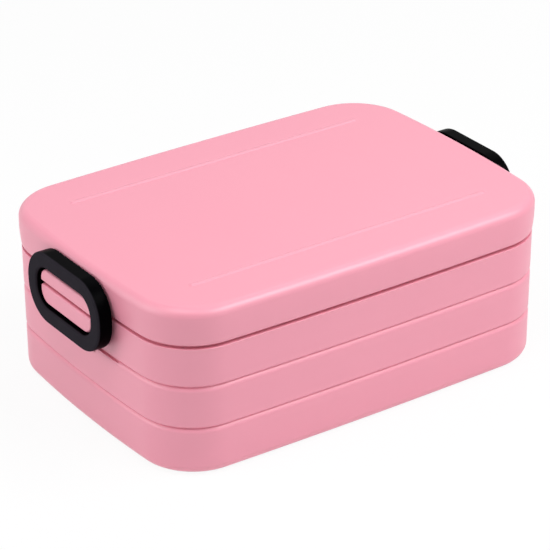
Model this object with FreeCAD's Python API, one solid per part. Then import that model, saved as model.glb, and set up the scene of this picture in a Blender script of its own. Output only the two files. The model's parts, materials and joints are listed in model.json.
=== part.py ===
"""Bento lunch box: grooved tub, lift-off lid, two latch rings and a lift-out tray.

Millimetres. +X runs along the length, -Y is the front long side, +Z is up.
The origin is at the middle of the underside.
"""
import FreeCAD
import Part
import math
import os

Vector = FreeCAD.Vector

# Plan of the box at the lid's widest line: slightly bowed sides and round corners
LENGTH = 171.0
WIDTH = 120.0
CORNER_RADIUS = 23.0
LONG_SIDE_BOW = 0.8
SHORT_SIDE_BOW = 1.3

# Heights of the main lines
ROOF_TOP = 65.0
LID_WIDEST = 59.5
LID_EDGE = 51.2
TUB_SHOULDER = 50.0
LIP_TOP = 58.0
FLOOR_TOP = 2.8

# Distances from the plan above to each face, measured inwards
LID_EDGE_INSET = 0.6
LID_INNER_INSET = 2.0
TUB_SHOULDER_INSET = 0.6
TUB_FOOT_INSET = 0.85
LIP_OUTER_INSET = 2.3
TUB_INNER_INSET = 3.4
SKIRT_OUTER_INSET = 3.7
SKIRT_INNER_INSET = 4.9
SEAL_OUTER_INSET = 2.1
SEAL_INNER_INSET = 3.6

# Lid
ROOF_THICKNESS = 2.4
ROOF_EDGE_RADIUS = 3.5
SKIRT_BOTTOM = 55.5
SEAL_BOTTOM = 58.1
BEAD_OFFSET = 39.5
BEAD_LENGTH = 129.0
BEAD_WIDTH = 1.4
BEAD_HEIGHT = 0.35
BEAD_TAPER = 4.0

# Tub
FOOT_EDGE_RADIUS = 4.0
FOOT_HEIGHT = 6.0
FLOOR_CORNER_RADIUS = FOOT_EDGE_RADIUS - (TUB_INNER_INSET - TUB_FOOT_INSET)
FOOT_RING_INSET = 11.0
FOOT_RECESS = 0.7
GROOVE_HEIGHTS = (34.7, 18.5)
GROOVE_DEPTH = 0.7
GROOVE_HALF_HEIGHT = 0.7
RIM_BEVEL = 0.4

# Latch ring, which stands off the end wall and goes round both half-bosses
RING_LENGTH = 48.3
RING_BOTTOM = 36.4
RING_TOP = 63.8
RING_CORNER_RADIUS = 12.8
RING_BAR = 5.8
RING_BACK = 85.9
RING_FRONT = 91.6
RING_FRONT_BEVEL = 0.9

# Half-bosses that the ring holds together, split by the seam
BOSS_FACE = 90.4
BOSS_ROOT = 83.8
BOSS_HALF_LENGTH = 17.0
LID_BOSS_TOP = 56.5
TUB_BOSS_BOTTOM = 43.2
LID_BOSS_END_RADIUS = 4.2
TUB_BOSS_END_RADIUS = 5.0
BOSS_SPLIT_RADIUS = 1.0
BOSS_FACE_BEVEL = 0.7

# Ring hinge: two knuckles on stub trunnions, snapped into a slot along the upper groove
AXIS_OUT = 83.4
AXIS_HEIGHT = GROOVE_HEIGHTS[0]
KNUCKLE_OFFSET = 6.2
KNUCKLE_WIDTH = 6.4
KNUCKLE_RADIUS = 1.5
ARM_THICKNESS = 1.8
ARM_REACH = (3.4, 3.8)
TRUNNION_RADIUS = 0.9
TRUNNION_LENGTH = 1.6
TRUNNION_CLEARANCE = 0.06
SIDE_CLEARANCE = 0.3
POCKET_RADIUS = 1.9
POCKET_ABOVE = 3.4
POCKET_BELOW = 2.6
SLOT_HALF_LENGTH = 24.0
SLOT_HEIGHT = 1.7
SLOT_DEPTH = 1.6
SLOT_END_RADIUS = 0.8
PAD_FACE = 80.0
PAD_HALF_LENGTH = 16.5
PAD_BOTTOM = 30.0
PAD_TOP = 39.4
PAD_BEVEL = 2.0

# Lift-out tray with a gutter for the fork along its inner side
TRAY_INSET = 6.3
TRAY_TAPER = 1.0
TRAY_WALL = 1.5
TRAY_BOTTOM = 2.9
TRAY_FLOOR = 4.5
TRAY_TOP = 49.0
TRAY_SIDE = 6.0
TRAY_CORNER_RADIUS = 8.0
TRAY_FLOOR_RADIUS = 4.0
FLANGE_REACH = 1.5
FLANGE_THICKNESS = 1.3
GUTTER_WIDTH = 14.0
GUTTER_HALF_LENGTH = 52.5
GUTTER_DEPTH = 8.0
GUTTER_CORNER_RADIUS = 5.0
GUTTER_FLOOR_BEVEL = 0.8
GUIDE_RIB = 1.3
GUIDE_REACH = 2.0
GUIDE_TOP = 46.0

# Loose divider in the tray
DIVIDER_PLACE = 14.0
DIVIDER_THICKNESS = 1.6
DIVIDER_GAP = 0.35
DIVIDER_FLOOR_GAP = 0.3
DIVIDER_TOP = 46.5
DIVIDER_NOTCH_RADIUS = 12.0
DIVIDER_NOTCH_DEPTH = 7.0

# Fork
FORK_LENGTH = 98.0
FORK_HEAD_WIDTH = 9.0
FORK_HEAD_LENGTH = 30.0
FORK_NECK_WIDTH = 4.4
FORK_HANDLE_WIDTH = 8.0
FORK_THICKNESS = 1.7
FORK_RISE = 2.2
FORK_TIP_TAPER = 0.6
TINE_COUNT = 3
TINE_GAP = 1.7
TINE_LENGTH = 17.0
FORK_GAP = 0.1

# How far cutting blocks run past a face, and how near counts as the same place
PAST = 1.0
TOUCH = 1e-4

# Middle of a quarter round, measured from its corner as a share of its radius
QUARTER_ROUND = 1 - math.sqrt(0.5)


def side_radius(half_span, bow):
    """Radius of an arc that rises by bow over its half span."""
    return (half_span ** 2 + bow ** 2) / (2 * bow)


LONG_RADIUS = side_radius(LENGTH / 2 - CORNER_RADIUS, LONG_SIDE_BOW)
SHORT_RADIUS = side_radius(WIDTH / 2 - CORNER_RADIUS, SHORT_SIDE_BOW)
LONG_CENTRE = Vector(0, WIDTH / 2 - LONG_RADIUS, 0)
SHORT_CENTRE = Vector(LENGTH / 2 - SHORT_RADIUS, 0, 0)


def corner_centre():
    """Centre of the round corner that meets both bowed sides smoothly."""
    reach_long = LONG_RADIUS - CORNER_RADIUS
    reach_short = SHORT_RADIUS - CORNER_RADIUS
    across = SHORT_CENTRE - LONG_CENTRE
    span = across.Length
    along = (reach_long ** 2 - reach_short ** 2 + span ** 2) / (2 * span)
    aside = math.sqrt(reach_long ** 2 - along ** 2)
    way = across / span
    return LONG_CENTRE + way * along + Vector(way.y, -way.x, 0) * aside


CORNER_CENTRE = corner_centre()


def arc(first, middle, last):
    """Edge along a circle through three points."""
    return Part.Arc(first, middle, last).toShape()


def corner_points(inset):
    """Start, middle and end of the round corner at +X +Y, from the short side to the long one."""
    radius = CORNER_RADIUS - inset
    to_long = (CORNER_CENTRE - LONG_CENTRE).normalize()
    to_short = (CORNER_CENTRE - SHORT_CENTRE).normalize()
    between = (to_long + to_short).normalize()
    return [CORNER_CENTRE + way * radius for way in (to_short, between, to_long)]


def outline(inset, height):
    """Closed plan of eight tangent arcs, drawn in by inset, at a height."""
    short_end, corner_mid, long_end = corner_points(inset)

    def at(point, sign_x, sign_y):
        return Vector(point.x * sign_x, point.y * sign_y, height)

    edges = []
    for sign_x, sign_y in ((1, 1), (-1, 1), (-1, -1), (1, -1)):
        corner = [at(p, sign_x, sign_y) for p in (short_end, corner_mid, long_end)]
        if sign_x * sign_y < 0:
            corner.reverse()
        edges.append(arc(*corner))
        if sign_x * sign_y > 0:
            middle = Vector(0, sign_y * (WIDTH / 2 - inset), height)
            edges.append(arc(corner[2], middle, at(long_end, -sign_x, sign_y)))
        else:
            middle = Vector(sign_x * (LENGTH / 2 - inset), 0, height)
            edges.append(arc(corner[2], middle, at(short_end, sign_x, -sign_y)))
    return Part.Wire(edges)


def prism(inset, bottom, top):
    """Upright block on the plan, drawn in by inset."""
    return Part.Face(outline(inset, bottom)).extrude(Vector(0, 0, top - bottom))


def stack(sections):
    """Block through (inset, height) sections of the plan."""
    return Part.makeLoft([outline(inset, z) for inset, z in sections], True, True)


def floor_sections(inset, bottom, radius):
    """Sections at the foot of a block whose floor edge is rounded in two steps."""
    step = radius * QUARTER_ROUND
    return [(inset + radius, bottom), (inset + step, bottom + step), (inset, bottom + radius)]


def box(low, high):
    """Box between two corners."""
    size = [b - a for a, b in zip(low, high)]
    return Part.makeBox(*size, Vector(*low))


def level_edges(shape, height):
    """Edges that lie flat at a height."""
    return [e for e in shape.Edges
            if abs(e.BoundBox.ZMin - height) < TOUCH and abs(e.BoundBox.ZMax - height) < TOUCH]


def facing_edges(shape, place):
    """Edges that lie on the plane x = place."""
    return [e for e in shape.Edges
            if abs(e.BoundBox.XMin - place) < TOUCH and abs(e.BoundBox.XMax - place) < TOUCH]


def both_ends(shape):
    """The shape made for the -X end and its mirror image at the +X end."""
    return [shape, shape.mirror(Vector(0, 0, 0), Vector(1, 0, 0))]


def upright_plate(half_length, bottom, top, low_radius, high_radius, back, front):
    """Plate in the YZ plane with round corners, from x = -back out to x = -front."""
    tilt = math.sqrt(0.5)
    edges = []
    last = None
    first = None
    for sign_y, sign_z in ((1, -1), (1, 1), (-1, 1), (-1, -1)):
        radius = high_radius if sign_z > 0 else low_radius
        centre = Vector(-back, sign_y * (half_length - radius),
                        top - radius if sign_z > 0 else bottom + radius)
        on_end = centre + Vector(0, sign_y * radius, 0)
        on_level = centre + Vector(0, 0, sign_z * radius)
        middle = centre + Vector(0, sign_y, sign_z) * radius * tilt
        if sign_y * sign_z > 0:
            start, stop = on_end, on_level
        else:
            start, stop = on_level, on_end
        if last is None:
            first = start
        elif last.distanceToPoint(start) > TOUCH:
            edges.append(Part.LineSegment(last, start).toShape())
        edges.append(arc(start, middle, stop))
        last = stop
    if last.distanceToPoint(first) > TOUCH:
        edges.append(Part.LineSegment(last, first).toShape())
    return Part.Face(Part.Wire(edges)).extrude(Vector(back - front, 0, 0))


def rod(radius, start, length):
    """Round bar along +Y at the hinge axis of the -X end."""
    base = Vector(-AXIS_OUT, start, AXIS_HEIGHT)
    return Part.makeCylinder(radius, length, base, Vector(0, 1, 0))


def half_boss(bottom, top, low_radius, high_radius):
    """One half of the latch boss at the -X end, with a bevelled outer face."""
    plate = upright_plate(BOSS_HALF_LENGTH, bottom, top, low_radius, high_radius,
                          BOSS_ROOT, BOSS_FACE)
    return plate.makeChamfer(BOSS_FACE_BEVEL, facing_edges(plate, -BOSS_FACE))


def groove(height):
    """Ring of material that a V-groove takes out of the tub's wall."""
    outer = (TUB_SHOULDER_INSET + TUB_FOOT_INSET) / 2
    slope = GROOVE_DEPTH / GROOVE_HALF_HEIGHT
    reach = GROOVE_HALF_HEIGHT + PAST / slope
    core = stack([(outer - PAST, height - reach), (outer + GROOVE_DEPTH, height),
                  (outer - PAST, height + reach)])
    return prism(outer - PAST, height - reach, height + reach).cut(core)


def hinge_space():
    """Slot, knuckle pockets and trunnion sockets cut into the tub's -X end wall."""
    wall = LENGTH / 2 - TUB_SHOULDER_INSET
    half = SLOT_HEIGHT / 2
    slot = upright_plate(SLOT_HALF_LENGTH, AXIS_HEIGHT - half, AXIS_HEIGHT + half,
                         SLOT_END_RADIUS, SLOT_END_RADIUS, wall - SLOT_DEPTH, wall + PAST)
    pieces = [slot]
    width = KNUCKLE_WIDTH + 2 * SIDE_CLEARANCE
    reach = TRUNNION_LENGTH + SIDE_CLEARANCE
    for side in (-1, 1):
        start = side * KNUCKLE_OFFSET - width / 2
        pieces.append(rod(POCKET_RADIUS, start, width))
        pieces.append(box((-wall - PAST, start, AXIS_HEIGHT - POCKET_BELOW),
                          (-AXIS_OUT, start + width, AXIS_HEIGHT + POCKET_ABOVE)))
        pieces.append(rod(TRUNNION_RADIUS + TRUNNION_CLEARANCE, start - reach, width + 2 * reach))
    return pieces[0].multiFuse(pieces[1:])


def hinge_pad():
    """Bevelled pad inside the -X end wall that backs the hinge pockets."""
    wall = LENGTH / 2 - TUB_INNER_INSET + PAST

    def face(place, grow):
        corners = [Vector(-place, y * (PAD_HALF_LENGTH + grow), z)
                   for y, z in ((-1, PAD_BOTTOM - grow), (1, PAD_BOTTOM - grow),
                                (1, PAD_TOP + grow), (-1, PAD_TOP + grow))]
        return Part.makePolygon(corners + corners[:1])

    return Part.makeLoft([face(PAD_FACE, 0), face(wall, PAD_BEVEL)], True, True)


def make_tub():
    """Tub: tapered shell with an inner lip, two grooves, hinge slots and lower half-bosses."""
    foot = prism(TUB_FOOT_INSET, 0, FOOT_HEIGHT)
    foot = foot.makeFillet(FOOT_EDGE_RADIUS, level_edges(foot, 0))
    shell = foot.fuse(stack([(TUB_FOOT_INSET, FOOT_HEIGHT),
                             (TUB_SHOULDER_INSET, TUB_SHOULDER - RIM_BEVEL),
                             (TUB_SHOULDER_INSET + RIM_BEVEL, TUB_SHOULDER)]))
    for height in GROOVE_HEIGHTS:
        shell = shell.cut(groove(height))
    lip = stack([(LIP_OUTER_INSET, TUB_SHOULDER - PAST), (LIP_OUTER_INSET, LIP_TOP - RIM_BEVEL),
                 (LIP_OUTER_INSET + RIM_BEVEL, LIP_TOP)])
    bosses = both_ends(half_boss(TUB_BOSS_BOTTOM, TUB_SHOULDER, TUB_BOSS_END_RADIUS,
                                 BOSS_SPLIT_RADIUS))
    shell = shell.multiFuse([lip] + bosses)
    pan = stack(floor_sections(TUB_INNER_INSET, FLOOR_TOP, FLOOR_CORNER_RADIUS))
    hollow = pan.fuse(prism(TUB_INNER_INSET, FLOOR_TOP + FLOOR_CORNER_RADIUS, LIP_TOP + PAST))
    hollow = hollow.cut(Part.makeCompound(both_ends(hinge_pad())))
    recess = prism(FOOT_RING_INSET, -PAST, FOOT_RECESS)
    return shell.cut(Part.makeCompound([hollow, recess] + both_ends(hinge_space())))


def top_bead(side):
    """Thin raised line on the lid's roof, round across and sloping down at both ends."""
    radius = side_radius(BEAD_WIDTH / 2, BEAD_HEIGHT)
    half = BEAD_LENGTH / 2
    middle = side * BEAD_OFFSET
    bar = Part.makeCylinder(radius, BEAD_LENGTH, Vector(-half, middle, ROOF_TOP + BEAD_HEIGHT - radius),
                            Vector(1, 0, 0))
    profile = [(half, -PAST), (half, 0), (half - 2 * BEAD_TAPER, 2 * BEAD_HEIGHT)]
    points = [Vector(x, middle - BEAD_WIDTH, ROOF_TOP + z) for x, z in profile]
    points += [Vector(-p.x, p.y, p.z) for p in reversed(points)]
    wedge = Part.Face(Part.makePolygon(points + points[:1])).extrude(Vector(0, 2 * BEAD_WIDTH, 0))
    return bar.common(wedge)


def make_lid():
    """Lid: bulged skirt, flat roof with two raised lines, seal channel and upper half-bosses."""
    middle = (LID_EDGE + LID_WIDEST) / 2
    wall = stack([(LID_EDGE_INSET, LID_EDGE), (LID_EDGE_INSET / 4, middle), (0, LID_WIDEST)])
    crown = prism(0, LID_WIDEST, ROOF_TOP)
    crown = crown.makeFillet(ROOF_EDGE_RADIUS, level_edges(crown, ROOF_TOP))
    bosses = both_ends(half_boss(LID_EDGE, LID_BOSS_TOP, BOSS_SPLIT_RADIUS,
                                 LID_BOSS_END_RADIUS))
    body = wall.multiFuse([crown, top_bead(-1), top_bead(1)] + bosses)
    roof_under = ROOF_TOP - ROOF_THICKNESS
    hollow = prism(LID_INNER_INSET, LID_EDGE - PAST, roof_under)
    skirt = prism(SKIRT_OUTER_INSET, SKIRT_BOTTOM, roof_under)
    skirt = skirt.cut(prism(SKIRT_INNER_INSET, SKIRT_BOTTOM - PAST, roof_under))
    return body.cut(hollow.cut(skirt))


def make_seal():
    """Silicone ring that fills the top of the lid's channel."""
    top = ROOF_TOP - ROOF_THICKNESS
    hole = prism(SEAL_INNER_INSET, SEAL_BOTTOM - PAST, top + PAST)
    return prism(SEAL_OUTER_INSET, SEAL_BOTTOM, top).cut(hole)


def knuckle(side):
    """Hinge knuckle behind the ring: barrel, arm and two stub trunnions."""
    start = side * KNUCKLE_OFFSET - KNUCKLE_WIDTH / 2
    barrel = rod(KNUCKLE_RADIUS, start, KNUCKLE_WIDTH)
    reach = SIDE_CLEARANCE + TRUNNION_LENGTH - SIDE_CLEARANCE / 2
    trunnions = rod(TRUNNION_RADIUS, start - reach, KNUCKLE_WIDTH + 2 * reach)
    out, up = ARM_REACH
    span = math.hypot(out, up)
    half = ARM_THICKNESS / 2
    aside = (-up / span * half, out / span * half)
    corners = [(aside[0], aside[1]), (out + aside[0], up + aside[1]),
               (out - aside[0], up - aside[1]), (-aside[0], -aside[1])]
    points = [Vector(-AXIS_OUT - u, start, AXIS_HEIGHT + w) for u, w in corners]
    arm = Part.Face(Part.makePolygon(points + points[:1])).extrude(Vector(0, KNUCKLE_WIDTH, 0))
    return barrel.multiFuse([trunnions, arm])


def make_clip():
    """Latch ring of the -X end with its two hinge knuckles."""
    outer = upright_plate(RING_LENGTH / 2, RING_BOTTOM, RING_TOP, RING_CORNER_RADIUS,
                          RING_CORNER_RADIUS, RING_BACK, RING_FRONT)
    inner_radius = RING_CORNER_RADIUS - RING_BAR
    window = upright_plate(RING_LENGTH / 2 - RING_BAR, RING_BOTTOM + RING_BAR, RING_TOP - RING_BAR,
                           inner_radius, inner_radius, RING_BACK - PAST, RING_FRONT + PAST)
    ring = outer.cut(window)
    ring = ring.makeChamfer(RING_FRONT_BEVEL, facing_edges(ring, -RING_FRONT))
    return ring.multiFuse([knuckle(-1), knuckle(1)])


def tray_outline(inset, height):
    """Tray's plan: follows the tub's +X end, straight on its inner side, drawn in by inset."""
    drawn = inset + TRAY_TAPER * (TRAY_TOP - height) / (TRAY_TOP - TRAY_BOTTOM)
    end_inset = TRAY_INSET + drawn
    long_radius = LONG_RADIUS - end_inset
    short_end, corner_mid, long_end = corner_points(end_inset)
    radius = TRAY_CORNER_RADIUS - drawn
    across = TRAY_SIDE + TRAY_CORNER_RADIUS
    centre = Vector(across, LONG_CENTRE.y + math.sqrt((long_radius - radius) ** 2 - across ** 2), 0)
    to_corner = (centre - LONG_CENTRE).normalize()
    to_middle = (to_corner + (long_end - LONG_CENTRE).normalize()).normalize()
    to_side = Vector(-1, 0, 0)
    half = [short_end, corner_mid, long_end,
            LONG_CENTRE + to_middle * long_radius, LONG_CENTRE + to_corner * long_radius,
            centre + (to_corner + to_side).normalize() * radius, centre + to_side * radius]
    above = [Vector(p.x, p.y, height) for p in half]
    below = [Vector(p.x, -p.y, height) for p in reversed(half)]
    edges = [arc(*points[i:i + 3]) for points in (above, below) for i in (0, 2, 4)]
    edges.insert(3, Part.LineSegment(above[-1], below[0]).toShape())
    edges.append(arc(below[-1], Vector(LENGTH / 2 - end_inset, 0, height), above[0]))
    return Part.Wire(edges)


def tray_stack(sections):
    """Block through (inset, height) sections of the tray's plan."""
    return Part.makeLoft([tray_outline(inset, z) for inset, z in sections], True, True)


def gutter_block(inset, reach, bottom, top):
    """Long block beside the tray's inner side, up to x = reach, with round corners and floor edge."""
    half = GUTTER_HALF_LENGTH - inset
    block = box((TRAY_SIDE - GUTTER_WIDTH + inset, -half, bottom), (reach, half, top))
    uprights = [e for e in block.Edges
                if e.BoundBox.ZLength > (top - bottom) / 2 and e.BoundBox.XMax < TRAY_SIDE + TOUCH]
    block = block.makeFillet(GUTTER_CORNER_RADIUS - inset, uprights)
    return block.makeChamfer(GUTTER_FLOOR_BEVEL, level_edges(block, bottom))


def make_tray():
    """Tray: tapered pocket with a rolled flange, divider guides and a gutter for the fork."""
    pocket = tray_stack(floor_sections(TRAY_WALL, TRAY_FLOOR, TRAY_FLOOR_RADIUS)
                        + [(TRAY_WALL, TRAY_TOP + PAST)])
    outside = tray_stack(floor_sections(0, TRAY_BOTTOM, TRAY_FLOOR_RADIUS) + [(0, TRAY_TOP)])
    flange = tray_stack([(-FLANGE_REACH, z) for z in (TRAY_TOP - FLANGE_THICKNESS, TRAY_TOP)])
    gutter_floor = TRAY_TOP - GUTTER_DEPTH
    gutter = gutter_block(0, TRAY_SIDE + TRAY_CORNER_RADIUS, gutter_floor, TRAY_TOP)
    gutter_hollow = gutter_block(TRAY_WALL, TRAY_SIDE, gutter_floor + TRAY_WALL, TRAY_TOP + PAST)
    guides = []
    slot = DIVIDER_THICKNESS / 2 + DIVIDER_GAP
    for side in (-1, 1):
        near = DIVIDER_PLACE + side * slot
        far = near + side * GUIDE_RIB
        guides.append(box((0, min(near, far), TRAY_FLOOR), (LENGTH, max(near, far), GUIDE_TOP)))
    inner = tray_stack([(TRAY_WALL + GUIDE_REACH, z) for z in (TRAY_FLOOR - PAST, TRAY_TOP + PAST)])
    ribs = [guide.common(pocket).cut(inner) for guide in guides]
    shell = outside.multiFuse([flange, gutter]).cut(pocket.fuse(gutter_hollow))
    return shell.multiFuse(ribs)


def make_divider():
    """Loose partition with a finger notch, clear of the tray all round."""
    edge = TRAY_WALL + DIVIDER_GAP
    space = tray_stack(floor_sections(edge, TRAY_FLOOR + DIVIDER_FLOOR_GAP, TRAY_FLOOR_RADIUS)
                       + [(edge, DIVIDER_TOP)])
    half = DIVIDER_THICKNESS / 2
    slab = box((0, DIVIDER_PLACE - half, 0), (LENGTH, DIVIDER_PLACE + half, ROOF_TOP))
    plate = slab.common(space)
    middle = (plate.BoundBox.XMin + plate.BoundBox.XMax) / 2
    centre = DIVIDER_TOP - DIVIDER_NOTCH_DEPTH + DIVIDER_NOTCH_RADIUS
    notch = Part.makeCylinder(DIVIDER_NOTCH_RADIUS, 2 * half + 2 * PAST,
                              Vector(middle, DIVIDER_PLACE - half - PAST, centre), Vector(0, 1, 0))
    return plate.cut(notch)


def smooth_line(poles):
    """Smooth edge drawn by its poles, which it stays between."""
    curve = Part.BSplineCurve()
    curve.buildFromPoles(poles, False, 3)
    return curve.toShape()


def fork_plan(middle, tip, tail):
    """Fork seen from above, as a tall block: head with tines, slim neck and rounded handle."""
    head = FORK_HEAD_WIDTH / 2
    slim = FORK_NECK_WIDTH / 2
    grip = FORK_HANDLE_WIDTH / 2
    neck = tip + FORK_HEAD_LENGTH
    poles = [(tip, head - FORK_TIP_TAPER), (tip + TINE_LENGTH, head), (neck, head), (neck, slim),
             (0, slim), (tail / 2, grip), (tail - grip, grip)]
    right = [Vector(middle + half, y, 0) for y, half in poles]
    left = [Vector(middle - half, y, 0) for y, half in poles]
    end = Part.Arc(right[-1], Vector(middle, tail, 0), left[-1]).toShape()
    start = Part.LineSegment(left[0], right[0]).toShape()
    wire = Part.Wire(Part.__sortEdges__([smooth_line(right), end, smooth_line(left), start]))
    block = Part.Face(wire).extrude(Vector(0, 0, ROOF_TOP))
    pitch = (FORK_HEAD_WIDTH + TINE_GAP) / TINE_COUNT
    for index in range(TINE_COUNT - 1):
        across = middle + (index - (TINE_COUNT - 2) / 2) * pitch
        gap = box((across - TINE_GAP / 2, tip - PAST, 0),
                  (across + TINE_GAP / 2, tip + TINE_LENGTH, ROOF_TOP))
        root = Part.makeCylinder(TINE_GAP / 2, ROOF_TOP, Vector(across, tip + TINE_LENGTH, 0))
        block = block.cut(gap.fuse(root))
    return block


def make_fork():
    """Fork along Y in the gutter: its plan cut to a gently bent side profile."""
    middle = TRAY_SIDE - (GUTTER_WIDTH - TRAY_WALL) / 2
    rest = TRAY_TOP - GUTTER_DEPTH + TRAY_WALL + FORK_GAP
    tip = -FORK_LENGTH / 2
    tail = FORK_LENGTH / 2
    neck = tip + FORK_HEAD_LENGTH
    spine = [(tip, rest + FORK_RISE), (tip + TINE_LENGTH, rest), (neck, rest),
             (neck + TINE_LENGTH, rest + FORK_RISE), (tail / 2, rest), (tail, rest)]

    def bent(lift):
        return [Vector(middle - FORK_HEAD_WIDTH, y, z + lift) for y, z in spine]

    under = bent(0)
    over = bent(FORK_THICKNESS)
    edges = [smooth_line(under), smooth_line(over)]
    edges += [Part.LineSegment(under[i], over[i]).toShape() for i in (0, -1)]
    profile = Part.Face(Part.Wire(Part.__sortEdges__(edges)))
    band = profile.extrude(Vector(2 * FORK_HEAD_WIDTH, 0, 0))
    return fork_plan(middle, tip, tail).common(band)


def main():
    """Build every piece and write it under its own name."""
    os.makedirs("parts", exist_ok=True)
    clip_left, clip_right = both_ends(make_clip())
    pieces = {
        "base_tub": make_tub(),
        "lid": make_lid(),
        "lid_seal": make_seal(),
        "clip_left": clip_left,
        "clip_right": clip_right,
        "bento_tray": make_tray(),
        "tray_divider": make_divider(),
        "fork": make_fork(),
    }
    for name, shape in pieces.items():
        solid = shape.removeSplitter()
        solid.exportStep(f"parts/{name}.step")
        low = solid.BoundBox
        print(name, "valid", solid.isValid(), "solids", len(solid.Solids),
              "volume", round(solid.Volume), "mm3",
              [round(v, 2) for v in (low.XMin, low.XMax, low.YMin, low.YMax, low.ZMin, low.ZMax)])


main()
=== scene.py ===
"""Looks of a bento lunch box: pink moulded shells, black latch rings and a milky tray inside.

Sizes are in millimetres in the box's own frame, and each mesh is scaled to metres as it becomes
an object. +X runs along the length, -Y is the front long side and +Z is up. Most pieces are a plan
that is drawn once for each station of a profile, where a station is the plan's inset and its height.
"""

import json
import logging
import math
from collections.abc import Mapping, Sequence
from dataclasses import dataclass
from enum import Enum

import bmesh
import bpy
from bmesh.types import BMEdge, BMesh, BMVert
from bpy.types import Material, NodeSocket, Object, ShaderNode, ShaderNodeTree
from mathutils import Matrix, Vector


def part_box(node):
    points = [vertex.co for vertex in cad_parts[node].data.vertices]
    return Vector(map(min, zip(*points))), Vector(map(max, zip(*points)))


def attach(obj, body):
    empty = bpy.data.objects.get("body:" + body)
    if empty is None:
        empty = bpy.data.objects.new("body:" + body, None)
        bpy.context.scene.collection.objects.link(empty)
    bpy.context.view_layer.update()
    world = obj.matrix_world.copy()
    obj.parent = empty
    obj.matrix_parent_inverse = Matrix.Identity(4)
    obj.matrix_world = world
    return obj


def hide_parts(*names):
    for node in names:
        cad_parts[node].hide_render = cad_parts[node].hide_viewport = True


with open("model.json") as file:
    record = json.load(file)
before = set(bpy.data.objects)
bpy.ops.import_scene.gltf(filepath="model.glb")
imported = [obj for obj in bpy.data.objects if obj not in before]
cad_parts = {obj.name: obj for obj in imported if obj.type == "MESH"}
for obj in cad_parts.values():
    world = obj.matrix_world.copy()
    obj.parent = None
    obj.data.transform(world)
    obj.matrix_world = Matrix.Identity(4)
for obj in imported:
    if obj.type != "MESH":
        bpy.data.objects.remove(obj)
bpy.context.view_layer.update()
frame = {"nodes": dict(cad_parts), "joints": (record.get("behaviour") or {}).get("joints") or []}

LOG = logging.getLogger("lunch_box")
MM = 0.001

# Points that are closer than this are one point. The long sides' arcs have a radius of over two
# metres, so in single precision their ends miss the corners' by up to about 0.001.
TOUCH = 0.005
# Distance from an edge to the loop that keeps the shading of the flat face beside it even.
GUARD = 1.5
# How far a block reaches past a face that it is joined to or cuts through.
OVERLAP = 1.0

# Edges of a CAD node that turn by less than this lie within one face.
FLAT = math.radians(0.6)
# Edges of a CAD node that turn by more than this get a rounding.
CORNER = math.radians(50)
# Edges of a finished piece that turn by more than this are shaded crisp.
CRISP = math.radians(32)

# Sockets of Blender's Mix node by number, because several of them share a name.
MIX_SHARE, FLOAT_A, FLOAT_B, COLOUR_A, COLOUR_B = 0, 2, 3, 6, 7
FLOAT_MIX, COLOUR_MIX = 0, 2

Colour = tuple[float, float, float, float]
Point = tuple[float, float]
Station = tuple[float, float]


def linear(hex_colour: str) -> Colour:
    """Turn an sRGB hex colour into linear RGBA.

    Args:
        hex_colour: Six hex digits with a leading hash sign.

    Returns:
        Linear red, green and blue, and full alpha.
    """
    parts = [int(hex_colour[i:i + 2], 16) / 255 for i in (1, 3, 5)]
    red, green, blue = [p / 12.92 if p <= 0.04045 else ((p + 0.055) / 1.055) ** 2.4 for p in parts]
    return red, green, blue, 1.0


def add_node(tree: ShaderNodeTree, kind: str, settings: Mapping[str | int, object] | None = None,
             links: Mapping[str | int, NodeSocket] | None = None) -> ShaderNode:
    """Add a shader node with its settings and its incoming links.

    Args:
        tree: Node tree that gets the node.
        kind: Blender's type name of the node.
        settings: Attributes or input values, by attribute name, input name or input number.
        links: Output sockets to link, by input name or input number.

    Returns:
        The new node.
    """
    node = tree.nodes.new(kind)
    for key, value in (settings or {}).items():
        if isinstance(key, str) and hasattr(node, key):
            setattr(node, key, value)
        else:
            node.inputs[key].default_value = value
    for key, socket in (links or {}).items():
        tree.links.new(socket, node.inputs[key])
    return node


def empty_material(name: str) -> Material:
    """Make a material whose node tree holds nothing yet.

    Args:
        name: Name of the material.

    Returns:
        The material.
    """
    material = bpy.data.materials.new(name)
    material.use_nodes = True
    material.node_tree.nodes.clear()
    return material


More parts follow.
